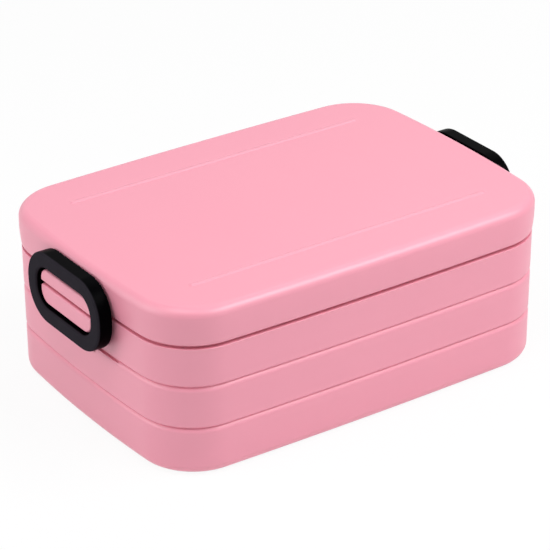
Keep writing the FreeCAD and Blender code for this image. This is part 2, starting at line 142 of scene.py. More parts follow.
@dataclass(frozen=True)
class MouldedPlastic:
    """Plastic or rubber out of a textured mould: even colour under a fine grain.

    Attributes:
        name: Name of the material.
        tone: Main colour as sRGB hex.
        drift: Colour that the tone drifts to, from uneven pigment.
        drift_mm: Size of that drift.
        roughness: Lowest and highest roughness.
        grain_mm: Size of the mould's grain.
        grain_depth_mm: Depth of the grain.
        ior: Refractive index.
        gloss: Share of the mirror reflection, where 0.5 is the full one.
        see_in: Weight of light that spreads under the surface.
        see_in_mm: How far that light spreads.
    """

    name: str
    tone: str
    drift: str
    drift_mm: float
    roughness: tuple[float, float]
    grain_mm: float
    grain_depth_mm: float
    ior: float = 1.5
    gloss: float = 0.5
    see_in: float = 0.0
    see_in_mm: float = 1.0

    def material(self) -> Material:
        """Build the material from its fields.

        Returns:
            The finished material.
        """
        material = empty_material(self.name)
        tree = material.node_tree
        place = add_node(tree, "ShaderNodeTexCoord").outputs["Object"]
        clouds, grain = (
            add_node(tree, "ShaderNodeTexNoise", {"Scale": 1 / (size * MM), "Detail": detail},
                     {"Vector": place}).outputs["Fac"]
            for size, detail in ((self.drift_mm, 2.0), (self.grain_mm, 3.0)))
        low, high = self.roughness
        rough = add_node(tree, "ShaderNodeMapRange", {"To Min": low, "To Max": high}, {"Value": grain})
        bump = add_node(tree, "ShaderNodeBump", {"Distance": self.grain_depth_mm * MM}, {"Height": grain})
        pigment = add_node(
            tree, "ShaderNodeMix",
            {"data_type": "RGBA", COLOUR_A: linear(self.tone), COLOUR_B: linear(self.drift)},
            {MIX_SHARE: clouds})
        colour, polish = self.faces(tree, place, pigment.outputs[COLOUR_MIX], rough.outputs["Result"])
        shader = add_node(
            tree, "ShaderNodeBsdfPrincipled",
            {"IOR": self.ior, "Specular IOR Level": self.gloss, "Subsurface Weight": self.see_in,
             "Subsurface Scale": self.see_in_mm * MM},
            {"Base Color": colour, "Roughness": polish, "Normal": bump.outputs["Normal"]})
        add_node(tree, "ShaderNodeOutputMaterial", links={"Surface": shader.outputs["BSDF"]})
        return material

    def faces(self, tree: ShaderNodeTree, place: NodeSocket, colour: NodeSocket,
              rough: NodeSocket) -> tuple[NodeSocket, NodeSocket]:
        """Colour and roughness of the surface, which is of one kind all over."""
        return colour, rough


@dataclass(frozen=True, kw_only=True)
class TwoFacedPlastic(MouldedPlastic):
    """Plastic with a matt textured front and smoother sides whose darker colour is painted shade, split by
    distance along X.

    Attributes:
        side_tone: Colour of the sides as sRGB hex, near black as painted shade for their dark reflection.
        side_roughness: Roughness of the sides.
        front_mm: Distance from the box's middle where the front begins.
        fade_mm: Width over which the two meet.
    """

    side_tone: str
    side_roughness: float
    front_mm: float
    fade_mm: float

    def faces(self, tree: ShaderNodeTree, place: NodeSocket, colour: NodeSocket,
              rough: NodeSocket) -> tuple[NodeSocket, NodeSocket]:
        """Mix colour and roughness between the front and the sides, whose darker colour is painted shade.

        Args:
            tree: The material's node tree.
            place: Object coordinates.
            colour: Colour of the front.
            rough: Roughness of the front.

        Returns:
            Colour and roughness of the whole surface.
        """
        axes = add_node(tree, "ShaderNodeSeparateXYZ", links={"Vector": place})
        reach = add_node(tree, "ShaderNodeMath", {"operation": "ABSOLUTE"}, {0: axes.outputs["X"]})
        front = add_node(tree, "ShaderNodeMapRange",
                         {"From Min": self.front_mm * MM, "From Max": (self.front_mm + self.fade_mm) * MM},
                         {"Value": reach.outputs["Value"]}).outputs["Result"]
        # The sides' near-black colour is painted shade, standing in for the dark reflection on their gloss.
        tone = add_node(tree, "ShaderNodeMix", {"data_type": "RGBA", COLOUR_A: linear(self.side_tone)},
                        {MIX_SHARE: front, COLOUR_B: colour})
        polish = add_node(tree, "ShaderNodeMix", {"data_type": "FLOAT", FLOAT_A: self.side_roughness},
                          {MIX_SHARE: front, FLOAT_B: rough})
        return tone.outputs[COLOUR_MIX], polish.outputs[FLOAT_MIX]


class Join(Enum):
    """How a second mesh changes a first one."""

    ADD = "UNION"
    CUT = "DIFFERENCE"


class Quarter(Enum):
    """Quarter turn of a rounded edge in a profile, by its first and last angle in degrees.

    Angle 0 faces outwards, 90 up, 180 inwards and 270 down.
    """

    OUT_TO_TOP = (0, 90)
    TOP_TO_IN = (90, 180)
    IN_TO_UNDER = (180, 270)
    UNDER_TO_OUT = (270, 360)
    WALL_TO_FLOOR = (360, 270)


class End(Enum):
    """A short end of the box, by the turn about Z that carries the +X end to it."""

    RIGHT = 0.0
    LEFT = math.pi

    @property
    def place(self) -> Matrix:
        """Matrix from a drawing of the end (across, up, outwards) to the box's axes."""
        upright = Matrix(((0, 0, 1, 0), (1, 0, 0, 0), (0, 1, 0, 0), (0, 0, 0, 1)))
        return Matrix.Rotation(self.value, 4, "Z") @ upright

    @property
    def clip(self) -> str:
        """Name of the CAD node of this end's latch ring."""
        return f"clip_{self.name.lower()}"


def make_object(name: str, bm: BMesh, place: Matrix | None = None) -> Object:
    """Turn a mesh in millimetres into an object in metres at the origin.

    Args:
        name: Name of the object.
        bm: The mesh, which is freed.
        place: Matrix that carries the drawing to its place in the box.

    Returns:
        The linked object.
    """
    matrix = Matrix.Scale(MM, 4) @ (place or Matrix.Identity(4))
    bmesh.ops.transform(bm, matrix=matrix, verts=bm.verts)
    mesh = bpy.data.meshes.new(name)
    bm.to_mesh(mesh)
    bm.free()
    piece = bpy.data.objects.new(name, mesh)
    bpy.context.scene.collection.objects.link(piece)
    return piece


@dataclass(frozen=True)
class Arc:
    """A round stretch of an outline, drawn anticlockwise.

    Attributes:
        centre: Point that it turns about.
        radius: Distance from that point.
        start: Angle of its first point.
        sweep: Angle that it turns by.
        steps: Number of edges.
    """

    centre: Vector
    radius: float
    start: float
    sweep: float
    steps: int

    def draw(self, bm: BMesh, inset: float, height: float) -> tuple[BMVert, BMVert]:
        """Spin one vertex into the arc.

        Args:
            bm: Mesh that gets the edges.
            inset: Distance that the outline is drawn in by.
            height: Z of the arc.

        Returns:
            Its first and last vertex.
        """
        middle = Vector((self.centre.x, self.centre.y, height))
        way = Vector((math.cos(self.start), math.sin(self.start), 0))
        first = bm.verts.new(middle + way * (self.radius - inset))
        spun = bmesh.ops.spin(bm, geom=[first], cent=middle, axis=(0, 0, 1), angle=self.sweep,
                              steps=self.steps)
        last = next(item for item in spun["geom_last"] if isinstance(item, BMVert))
        return first, last


@dataclass(frozen=True)
class Outline:
    """A closed plan of convex arcs, with straight edges between arcs that don't meet."""

    arcs: tuple[Arc, ...]

    @classmethod
    def rounded(cls, low: Point, high: Point, radius: float, steps: int,
                high_radius: float | None = None) -> "Outline":
        """Draw a rectangle with round corners.

        Args:
            low: Lowest x and y.
            high: Highest x and y.
            radius: Radius of the corners.
            steps: Edges in each corner.
            high_radius: Radius of the two corners at the highest y, where it differs.

        Returns:
            The outline.
        """
        arcs = []
        for quarter, (side_x, side_y) in enumerate(((1, 1), (-1, 1), (-1, -1), (1, -1))):
            turn = high_radius if high_radius and side_y > 0 else radius
            corner = (high[0] if side_x > 0 else low[0], high[1] if side_y > 0 else low[1])
            centre = Vector((corner[0] - side_x * turn, corner[1] - side_y * turn))
            arcs.append(Arc(centre, turn, quarter * math.pi / 2, math.pi / 2, steps))
        return cls(tuple(arcs))

    def ring(self, bm: BMesh, inset: float, height: float) -> list[BMEdge]:
        """Draw the outline once.

        Args:
            bm: Mesh that gets the loop.
            inset: Distance that the outline is drawn in by.
            height: Z of the loop.

        Returns:
            Edges of the closed loop.
        """
        loop = bmesh.new()
        ends = [arc.draw(loop, inset, height) for arc in self.arcs]
        same = {}
        for (_, last), (first, _) in zip(ends, ends[1:] + ends[:1]):
            if (last.co - first.co).length < TOUCH:
                same[first] = last
            else:
                loop.edges.new((last, first))
        bmesh.ops.weld_verts(loop, targetmap=same)
        mesh = bpy.data.meshes.new("loop")
        loop.to_mesh(mesh)
        loop.free()
        count = len(bm.edges)
        bm.from_mesh(mesh)
        bpy.data.meshes.remove(mesh)
        bm.edges.ensure_lookup_table()
        return bm.edges[count:]

    def solid(self, name: str, stations: Sequence[Station], place: Matrix | None = None,
              closed: bool = False) -> Object:
        """Bridge loops of the outline into one closed surface.

        The loops are bridged one above the other, and then each goes to its own height, because the
        bridge can twist between loops in one plane.

        Args:
            name: Name of the object.
            stations: Inset and height of each loop, in order along the profile.
            place: Matrix that carries the drawing to its place in the box.
            closed: Whether the last loop meets the first, as on a ring. Otherwise both are capped.

        Returns:
            The surface as an object of its own.
        """
        bm = bmesh.new()
        rings = [self.ring(bm, inset, level) for level, (inset, _) in enumerate(stations)]
        pairs = list(zip(rings, rings[1:]))
        if closed:
            pairs.append((rings[-1], rings[0]))
        else:
            for ring in (rings[0], rings[-1]):
                bmesh.ops.contextual_create(bm, geom=ring)
        for one, other in pairs:
            bmesh.ops.bridge_loops(bm, edges=one + other)
        for vert in bm.verts:
            vert.co.z = stations[round(vert.co.z)][1]
        bmesh.ops.recalc_face_normals(bm, faces=bm.faces)
        return make_object(name, bm, place)


def bend(inset: float, height: float, radius: float, quarter: Quarter, steps: int) -> list[Station]:
    """List the stations that round off a corner of the profile.

    Args:
        inset: Inset of the sharp corner.
        height: Height of the sharp corner.
        radius: Radius of the rounding.
        quarter: Which way it turns.
        steps: Number of edges.

    Returns:
        Inset and height of each point.
    """
    first, last = (math.radians(angle) for angle in quarter.value)
    middle_inset = inset + radius * (math.cos(first) + math.cos(last))
    middle_height = height - radius * (math.sin(first) + math.sin(last))
    angles = [first + (last - first) * i / steps for i in range(steps + 1)]
    return [(middle_inset - radius * math.cos(a), middle_height + radius * math.sin(a)) for a in angles]


def soften(bm: BMesh, edges: Sequence[BMEdge], radius: float, segments: int) -> None:
    """Round off edges of a mesh.

    Args:
        bm: The mesh.
        edges: Edges that are rounded.
        radius: Radius of the rounding.
        segments: Faces across it.
    """
    bmesh.ops.bevel(bm, geom=edges, offset=radius, offset_type="OFFSET", segments=segments, profile=0.5,
                    affect="EDGES", clamp_overlap=True, material=-1)


def soft_bar(size: Sequence[float], rounding: float) -> BMesh:
    """Draw a square bar about the origin.

    Args:
        size: Size along each axis.
        rounding: Radius of its edges.

    Returns:
        The mesh.
    """
    bm = bmesh.new()
    bmesh.ops.create_cube(bm, size=1.0, matrix=Matrix.Diagonal((*size, 1)))
    soften(bm, bm.edges[:], rounding, segments=2)
    return bm


def combine(piece: Object, others: Sequence[Object], how: Join) -> None:
    """Add other objects to a piece, or cut them out of it, and remove them.

    Args:
        piece: Object that is changed.
        others: Objects that are used up.
        how: Whether to add or to cut.
    """
    group = bpy.data.collections.new(how.name)
    for other in others:
        group.objects.link(other)
    modifier = piece.modifiers.new(how.name, "BOOLEAN")
    modifier.operation = how.value
    modifier.solver = "MANIFOLD"
    modifier.operand_type = "COLLECTION"
    modifier.collection = group
    evaluated = piece.evaluated_get(bpy.context.evaluated_depsgraph_get())
    spent = [piece.data, *(other.data for other in others)]
    piece.data = bpy.data.meshes.new_from_object(evaluated)
    piece.modifiers.clear()
    for other in others:
        bpy.data.objects.remove(other)
    for mesh in spent:
        bpy.data.meshes.remove(mesh)
    bpy.data.collections.remove(group)


def dress(piece: Object, material: Material, body: str, node: str) -> None:
    """Give a piece its finish, its shading and its place on a body.

    Args:
        piece: The new piece.
        material: Its finish.
        body: Body that it rides on.
        node: CAD node that it stands for.
    """
    piece.data.name = piece.name
    piece.data.materials.clear()
    piece.data.materials.append(material)
    piece.data.shade_smooth()
    piece.data.set_sharp_from_angle(angle=CRISP)
    even = piece.modifiers.new("even_normals", "WEIGHTED_NORMAL")
    even.keep_sharp = True
    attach(piece, body)
    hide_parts(node)
    LOG.info("%s: %d faces on %s, in place of %s", piece.name, len(piece.data.polygons), body, node)


def frame_box(node: str) -> tuple[Vector, Vector]:
    """Lowest and highest corner of a CAD node in millimetres."""
    low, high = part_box(node)
    return low / MM, high / MM


@dataclass(frozen=True)
class BoxPlan:
    """Plan of the box at the lid's widest line: bowed sides that run smoothly into round corners.

    Attributes:
        length: Size along X.
        width: Size along Y.
        corner_radius: Radius of the four corners.
        long_bow: Rise of the long sides.
        short_bow: Rise of the short sides.
        corner_steps: Edges in each corner.
        long_steps: Edges along each long side.
        short_steps: Edges along each short side.
    """

    length: float = 171.0
    width: float = 120.0
    corner_radius: float = 23.0
    long_bow: float = 0.8
    short_bow: float = 1.3
    corner_steps: int = 22
    long_steps: int = 12
    short_steps: int = 28

    def side_radius(self, size: float, bow: float) -> float:
        """Radius of a side of a given size that rises by its bow."""
        half = size / 2 - self.corner_radius
        return (half ** 2 + bow ** 2) / (2 * bow)

    @property
    def long_radius(self) -> float:
        """Radius of the long sides."""
        return self.side_radius(self.length, self.long_bow)

    @property
    def short_radius(self) -> float:
        """Radius of the short sides."""
        return self.side_radius(self.width, self.short_bow)

    @property
    def long_centre(self) -> Vector:
        """Centre of the long side at +Y."""
        return Vector((0, self.width / 2 - self.long_radius))

    @property
    def short_centre(self) -> Vector:
        """Centre of the short side at +X."""
        return Vector((self.length / 2 - self.short_radius, 0))

    @property
    def corner_centre(self) -> Vector:
        """Centre of the corner at +X +Y.

        Returns:
            The point from which the corner's arc touches both sides from within.
        """
        reach_long = self.long_radius - self.corner_radius
        reach_short = self.short_radius - self.corner_radius
        across = self.short_centre - self.long_centre
        span = across.length
        along = (reach_long ** 2 - reach_short ** 2 + span ** 2) / (2 * span)
        aside = math.sqrt(reach_long ** 2 - along ** 2)
        way = across / span
        return self.long_centre + way * along + Vector((way.y, -way.x)) * aside

    @property
    def corner_angles(self) -> tuple[float, float]:
        """Angles at which the corner at +X +Y ends.

        Returns:
            The angle at the short side and the angle at the long side.
        """
        to_short = self.corner_centre - self.short_centre
        to_long = self.corner_centre - self.long_centre
        return math.atan2(to_short.y, to_short.x), math.atan2(to_long.y, to_long.x)

    def outline(self) -> Outline:
        """Outline of the whole plan.

        Returns:
            Eight arcs, of which the second half is the first one turned by half a turn.
        """
        short, long = self.corner_angles
        corner = self.corner_centre
        half = (
            Arc(corner, self.corner_radius, short, long - short, self.corner_steps),
            Arc(self.long_centre, self.long_radius, long, math.pi - 2 * long, self.long_steps),
            Arc(Vector((-corner.x, corner.y)), self.corner_radius, math.pi - long, long - short,
                self.corner_steps),
            Arc(-self.short_centre, self.short_radius, math.pi - short, 2 * short, self.short_steps),
        )
        turned = (Arc(-arc.centre, arc.radius, arc.start + math.pi, arc.sweep, arc.steps) for arc in half)
        return Outline((*half, *turned))


@dataclass(frozen=True)
class HalfBoss:
    """One half of the boss that a latch ring goes round, on the lid or on the tub.

    Attributes:
        bottom: Lowest height.
        top: Highest height.
        low_radius: Radius of its lower corners.
        high_radius: Radius of its upper corners.
        face: Distance from the box's middle to its outer face.
        half_length: Half of its length along Y.
        root: Distance from the box's middle where it starts, inside the wall.
        rounding: Radius of the outer face's edge.
    """

    bottom: float
    top: float
    low_radius: float
    high_radius: float
    face: float
    half_length: float = 17.0
    root: float = 83.8
    rounding: float = 0.8

    def mesh(self, end: End) -> Object:
        """Model the half-boss at one end of the box.

        Args:
            end: The short end that it stands on.

        Returns:
            The half-boss as an object of its own.
        """
        outline = Outline.rounded((-self.half_length, self.bottom), (self.half_length, self.top),
                                  self.low_radius, steps=10, high_radius=self.high_radius)
        edge = bend(0, self.face, self.rounding, Quarter.OUT_TO_TOP, steps=5)
        return outline.solid("half_boss", [(0, self.root), *edge], end.place)


@dataclass(frozen=True)
class Hinge:
    """Hinge of a latch ring: knuckles on stub trunnions in a slot along the upper groove.

    Attributes:
        end: The short end that it is on.
        out: Distance of the axis from the box's middle.
        height: Height of the axis.
        knuckle_offset: Distance of each knuckle from the middle of the ring.
        knuckle_width: Width of a knuckle.
        knuckle_radius: Radius of a knuckle's barrel.
        arm_inset: How much narrower a knuckle's arm is than its barrel.
        arm_thickness: Thickness of a knuckle's arm.
        arm_out: How far the arm reaches outwards.
        arm_up: How far the arm reaches up.
        trunnion_radius: Radius of the trunnions.
        trunnion_length: Length of a trunnion.
        rounding: Radius of the edges of barrels, trunnions and arms.
        rod_steps: Edges round a barrel or a trunnion.
        clearance: Room round a trunnion.
        side_clearance: Room beside a knuckle.
        pocket_radius: Radius of the room round a barrel.
        pocket_above: Room for the arm above the axis.
        pocket_below: Room below the axis.
        mouth_radius: Radius of the corners of that room.
        slot_half_length: Half of the slot's length.
        slot_height: Height of the slot.
        slot_round: Share of the slot's half height that rounds its ends.
        slot_back: Distance of the slot's back from the box's middle.
    """

    end: End
    out: float
    height: float
    knuckle_offset: float = 6.2
    knuckle_width: float = 6.4
    knuckle_radius: float = 1.5
    arm_inset: float = 0.1
    arm_thickness: float = 1.8
    arm_out: float = 3.4
    arm_up: float = 3.8
    trunnion_radius: float = 0.9
    trunnion_length: float = 1.6
    rounding: float = 0.2
    rod_steps: int = 40
    clearance: float = 0.06
    side_clearance: float = 0.3
    pocket_radius: float = 1.9
    pocket_above: float = 3.4
    pocket_below: float = 2.6
    mouth_radius: float = 0.3
    slot_half_length: float = 24.0
    slot_height: float = 1.7
    slot_round: float = 0.96
    slot_back: float = 83.3

    @classmethod
    def at(cls, end: End) -> "Hinge":
        """Read the axis of an end's hinge from its joint in the frame.

        Args:
            end: The short end.

        Returns:
            The hinge with that axis.
        """
        joint = next(j for j in frame["joints"] if j["name"] == f"{end.clip}_swing")
        return cls(end, out=abs(joint["pos_m"][0]) / MM, height=joint["pos_m"][2] / MM)

    def rod(self, name: str, radius: float, middle: float, length: float, rounding: float = 0.0) -> Object:
        """Model a round bar along the axis.

        Args:
            name: Name of the object.
            radius: Radius of the bar.
            middle: Place of its middle across the end.
            length: Length of the bar.
            rounding: Radius of its end edges.

        Returns:
            The bar as an object of its own.
        """
        bm = bmesh.new()
        lie = Matrix.Translation((middle, self.height, self.out)) @ Matrix.Rotation(math.pi / 2, 4, "Y")
        bmesh.ops.create_cone(bm, cap_ends=True, segments=self.rod_steps, radius1=radius, radius2=radius,
                              depth=length, matrix=lie)
        if rounding:
            rims = [edge for edge in bm.edges if abs(edge.verts[0].co.x - edge.verts[1].co.x) < TOUCH]
            soften(bm, rims, rounding, segments=3)
        return make_object(name, bm, self.end.place)

    def spaces(self, wall: float) -> list[Object]:
        """Model what the hinge takes out of the tub's end wall.

        Args:
            wall: Distance from the box's middle past the wall's outer face.

        Returns:
            Slot, knuckle pockets and trunnion sockets as separate objects.
        """
        half = self.slot_height / 2
        slot = Outline.rounded((-self.slot_half_length, self.height - half),
                               (self.slot_half_length, self.height + half), half * self.slot_round, steps=8)
        found = [slot.solid("hinge_slot", [(0, self.slot_back), (0, wall)], self.end.place)]
        width = self.knuckle_width + 2 * self.side_clearance
        reach = self.trunnion_length + self.side_clearance
        for middle in (-self.knuckle_offset, self.knuckle_offset):
            mouth = Outline.rounded((middle - width / 2, self.height - self.pocket_below),
                                    (middle + width / 2, self.height + self.pocket_above),
                                    self.mouth_radius, steps=4)
            found += [
                mouth.solid("knuckle_mouth", [(0, self.out), (0, wall)], self.end.place),
                self.rod("knuckle_pocket", self.pocket_radius, middle, width),
                self.rod("trunnion_socket", self.trunnion_radius + self.clearance, middle,
                         width + 2 * reach),
            ]
        return found

    def knuckles(self) -> list[Object]:
        """Model the knuckles of the latch ring.

        Returns:
            Barrel, trunnions and arm of each knuckle as separate objects.
        """
        found = []
        reach = self.trunnion_length + self.side_clearance / 2
        tilt = math.atan2(self.arm_up, self.arm_out)
        span = math.hypot(self.arm_up, self.arm_out)
        size = (self.knuckle_width - self.arm_inset, self.arm_thickness, span)
        for middle in (-self.knuckle_offset, self.knuckle_offset):
            axis = Matrix.Translation((middle, self.height, self.out))
            lean = axis @ Matrix.Rotation(-tilt, 4, "X") @ Matrix.Translation((0, 0, span / 2))
            found += [
                self.rod("knuckle_barrel", self.knuckle_radius, middle, self.knuckle_width, self.rounding),
                self.rod("knuckle_trunnions", self.trunnion_radius, middle,
                         self.knuckle_width + 2 * reach, self.rounding),
                make_object("knuckle_arm", soft_bar(size, self.rounding), self.end.place @ lean),
            ]
        return found


@dataclass(frozen=True)
class Tub:
    """Lower shell: tapered wall with two grooves, a shoulder, an upstanding lip and a foot ring.

    Attributes:
        plan: Plan that all insets are measured from.
        boss: Lower half-boss of each latch.
        hinges: Hinge at each end.
        lip_top: Height of the lip.
        shoulder: Height of the shoulder that the lid stops above.
        floor_top: Height of the floor inside.
        foot_inset: Inset of the wall at the foot.
        shoulder_inset: Inset of the wall at the shoulder.
        lip_inset: Inset of the lip's outer face.
        inner_inset: Inset of the inner wall.
        foot_radius: Radius of the foot's edge.
        floor_radius: Radius between the inner wall and the floor.
        rim_radius: Radius of the lip's edges.
        shoulder_radius: Radius of the shoulder's outer edge.
        ring_inset: Inset of the foot ring's inner edge.
        ring_radius: Radius of that edge.
        recess: Depth of the underside inside the foot ring.
        groove_heights: Heights of the grooves.
        groove_depth: Depth of a groove.
        groove_rise: Height of a groove's upper side, with its soft lip.
        groove_sill: Height of a groove's lower side, which curves out to the wall.
        rise_curve: Power by which the upper side flattens towards the wall.
        sill_curve: Power by which the lower side flattens towards the wall.
        pad_face: Distance from the box's middle to the pads that back the hinges.
        pad_half_length: Half of a pad's length.
        pad_bottom: Lowest height of a pad's face.
        pad_top: Highest height of a pad's face.
        pad_radius: Radius of a pad's corners.
        pad_bevel: How much wider a pad is at the wall.
    """

    plan: BoxPlan
    boss: HalfBoss
    hinges: Mapping[End, Hinge]
    lip_top: float
    shoulder: float = 50.0
    floor_top: float = 2.8
    foot_inset: float = 0.85
    shoulder_inset: float = 0.6
    lip_inset: float = 2.3
    inner_inset: float = 3.4
    foot_radius: float = 4.0
    floor_radius: float = 1.45
    rim_radius: float = 0.5
    shoulder_radius: float = 0.25
    ring_inset: float = 11.0
    ring_radius: float = 0.3
    recess: float = 0.7
    groove_heights: tuple[float, float] = (18.5, 34.7)
    groove_depth: float = 1.05
    groove_rise: float = 1.25
    groove_sill: float = 2.2
    rise_curve: float = 1.6
    sill_curve: float = 3.0
    pad_face: float = 80.0
    pad_half_length: float = 16.5
    pad_bottom: float = 30.0
    pad_top: float = 39.4
    pad_radius: float = 1.5
    pad_bevel: float = 2.0

    def wall(self, height: float) -> float:
        """Inset of the tapered outer wall at a height."""
        share = (height - self.foot_radius) / (self.shoulder - self.foot_radius)
        return self.foot_inset + (self.shoulder_inset - self.foot_inset) * share

    def groove(self, height: float) -> list[Station]:
        """List the stations of one groove, from the foot of its curved lower side to its upper lip.

        Args:
            height: Height of the groove's bottom.

        Returns:
            Inset and height of each point.
        """
        # Shares of the way from the bottom to the wall, closest where the curve is tightest.
        parts = (0.05, 0.15, 0.27, 0.4, 0.54, 0.68, 0.84, 1.0)
        sides = [(-self.groove_sill * part, (1 - part) ** self.sill_curve) for part in reversed(parts)]
        sides += [(self.groove_rise * part, (1 - part) ** self.rise_curve) for part in (0.0, *parts)]
        return [(self.wall(height) + self.groove_depth * share, height + away) for away, share in sides]

    def stations(self) -> list[Station]:
        """List the whole profile, from the underside round the outside and down to the floor inside.

        Returns:
            Inset and height of each point.
        """
        found = [(self.ring_inset + GUARD, self.recess), (self.ring_inset, self.recess)]
        found += bend(self.ring_inset, 0, self.ring_radius, Quarter.IN_TO_UNDER, steps=3)
        found += [(self.foot_inset + self.foot_radius + GUARD, 0)]
        found += bend(self.foot_inset, 0, self.foot_radius, Quarter.UNDER_TO_OUT, steps=9)
        for height in self.groove_heights:
            found += self.groove(height)
        found += [(self.wall(self.shoulder - GUARD), self.shoulder - GUARD)]
        found += bend(self.shoulder_inset, self.shoulder, self.shoulder_radius, Quarter.OUT_TO_TOP, steps=5)
        found += [(self.lip_inset, self.shoulder)]
        found += bend(self.lip_inset, self.lip_top, self.rim_radius, Quarter.OUT_TO_TOP, steps=5)
        found += bend(self.inner_inset, self.lip_top, self.rim_radius, Quarter.TOP_TO_IN, steps=5)
        found += [(self.inner_inset, height) for height in (self.shoulder, self.shoulder / 2)]
        found += bend(self.inner_inset, self.floor_top, self.floor_radius, Quarter.WALL_TO_FLOOR, steps=9)
        return found + [(self.inner_inset + self.floor_radius + GUARD, self.floor_top)]

    def pad(self, end: End) -> Object:
        """Model the pad that backs a hinge inside the end wall.

        Args:
            end: The short end.

        Returns:
            The pad as an object of its own.
        """
        outline = Outline.rounded((-self.pad_half_length, self.pad_bottom),
                                  (self.pad_half_length, self.pad_top), self.pad_radius, steps=4)
        root = self.plan.length / 2 - self.inner_inset + OVERLAP
        return outline.solid("hinge_pad", [(0, self.pad_face), (-self.pad_bevel, root)], end.place)

    def build(self, material: Material) -> None:
        """Model the tub and dress it.

        Args:
            material: Finish of the shells.
        """
        piece = self.plan.outline().solid("tub_moulding", self.stations())
        combine(piece, [make(end) for end in End for make in (self.boss.mesh, self.pad)], Join.ADD)
        outside = self.plan.length / 2 + OVERLAP
        combine(piece, [space for end in End for space in self.hinges[end].spaces(outside)], Join.CUT)
        dress(piece, material, "tub_body", "base_tub")


@dataclass(frozen=True)
class Lid:
    """Lift-off cover: bulged skirt, round shoulder, flat roof with two thin raised lines.

    Attributes:
        plan: Plan that all insets are measured from.
        boss: Upper half-boss of each latch.
        edge: Height of the lower edge.
        bead_top: Height of the raised lines.
        roof: Height of the roof's flat top.
        widest: Height at which the skirt is widest.
        edge_inset: Inset of the skirt at the lower edge.
        inner_inset: Inset of the skirt's inner face.
        crown_radius: Radius between the skirt and the roof.
        roof_under: Height of the roof's underside.
        channel_inset: Inset of the seal channel's inner wall.
        channel_inner_inset: Inset of that wall's other face.
        channel_bottom: Height at which that wall ends.
        edge_radius: Radius of the small edges.
        skirt_radius: Radius of the skirt's outer lower edge.
        skirt_steps: Faces over the height of the skirt.
        bead_offset: Distance of each raised line from the middle.
        bead_length: Length of a raised line.
        bead_width: Width of a raised line at half its height.
        bead_round: Share of that width that rounds the ends at the foot.
        bead_crest: Share of that width at which the rise ends.
        bead_sink: How far under the roof the rise starts.
    """

    plan: BoxPlan
    boss: HalfBoss
    edge: float
    bead_top: float
    roof: float = 65.0
    widest: float = 59.5
    edge_inset: float = 0.6
    inner_inset: float = 2.0
    crown_radius: float = 3.5
    roof_under: float = 62.6
    channel_inset: float = 3.7
    channel_inner_inset: float = 4.9
    channel_bottom: float = 55.5
    edge_radius: float = 0.5
    skirt_radius: float = 0.65
    skirt_steps: int = 6
    bead_offset: float = 39.5
    bead_length: float = 129.0
    bead_width: float = 1.4
    bead_round: float = 0.99
    bead_crest: float = 0.97
    bead_sink: float = 0.01

    def bulge(self, height: float) -> float:
        """Inset of the bulged outer face at a height."""
        return self.edge_inset * ((self.widest - height) / (self.widest - self.edge)) ** 2

    def skirt(self) -> list[Station]:
        """List the stations of the bulged outer face, from the lower edge to the widest line.

        Returns:
            Inset and height of each point.
        """
        low = self.edge + self.skirt_radius
        step = (self.widest - low) / self.skirt_steps
        heights = [low + step * i for i in range(1, self.skirt_steps + 1)]
        found = bend(self.bulge(low), self.edge, self.skirt_radius, Quarter.UNDER_TO_OUT, steps=6)
        return found + [(self.bulge(height), height) for height in heights]

    def stations(self) -> list[Station]:
        """List the whole profile, from the roof's underside round the lower edge and up to the roof.

        Returns:
            Inset and height of each point.
        """
        small = self.edge_radius
        found = [(self.channel_inner_inset + GUARD, self.roof_under)]
        found += [(self.channel_inner_inset, self.roof_under)]
        found += bend(self.channel_inner_inset, self.channel_bottom, small, Quarter.IN_TO_UNDER, steps=4)
        found += bend(self.channel_inset, self.channel_bottom, small, Quarter.UNDER_TO_OUT, steps=4)
        found += [(self.channel_inset, self.roof_under), (self.inner_inset, self.roof_under)]
        found += bend(self.inner_inset, self.edge, small, Quarter.IN_TO_UNDER, steps=4)
        found += self.skirt()
        found += bend(0, self.roof, self.crown_radius, Quarter.OUT_TO_TOP, steps=12)
        return found + [(self.crown_radius + GUARD, self.roof)]

    def bead(self, side: int) -> Object:
        """Model a raised line that rises softly from the roof.

        Args:
            side: -1 for the line at -Y and 1 for the one at +Y.

        Returns:
            The line as an object of its own.
        """
        reach, half = self.bead_width, self.bead_length / 2
        middle = side * self.bead_offset
        outline = Outline.rounded((-half, middle - reach), (half, middle + reach),
                                  reach * self.bead_round, steps=10)
        rise = self.bead_top - self.roof
        # Shares of the way from the foot to the middle of the line.
        parts = (0.08, 0.2, 0.32, 0.44, 0.56, 0.68, 0.8, 0.9)
        swell = [(reach * part, self.roof + rise * (1 - math.cos(math.pi * part)) / 2) for part in parts]
        foot = [(0, self.roof - OVERLAP), (0, self.roof - self.bead_sink)]
        return outline.solid("roof_bead", [*foot, *swell, (reach * self.bead_crest, self.bead_top)])

    def build(self, material: Material) -> None:
        """Model the lid and dress it.

        Args:
            material: Finish of the shells.
        """
        piece = self.plan.outline().solid("lid_moulding", self.stations())
        raised = [self.boss.mesh(end) for end in End] + [self.bead(side) for side in (-1, 1)]
        combine(piece, raised, Join.ADD)
        dress(piece, material, "lid_body", "lid")


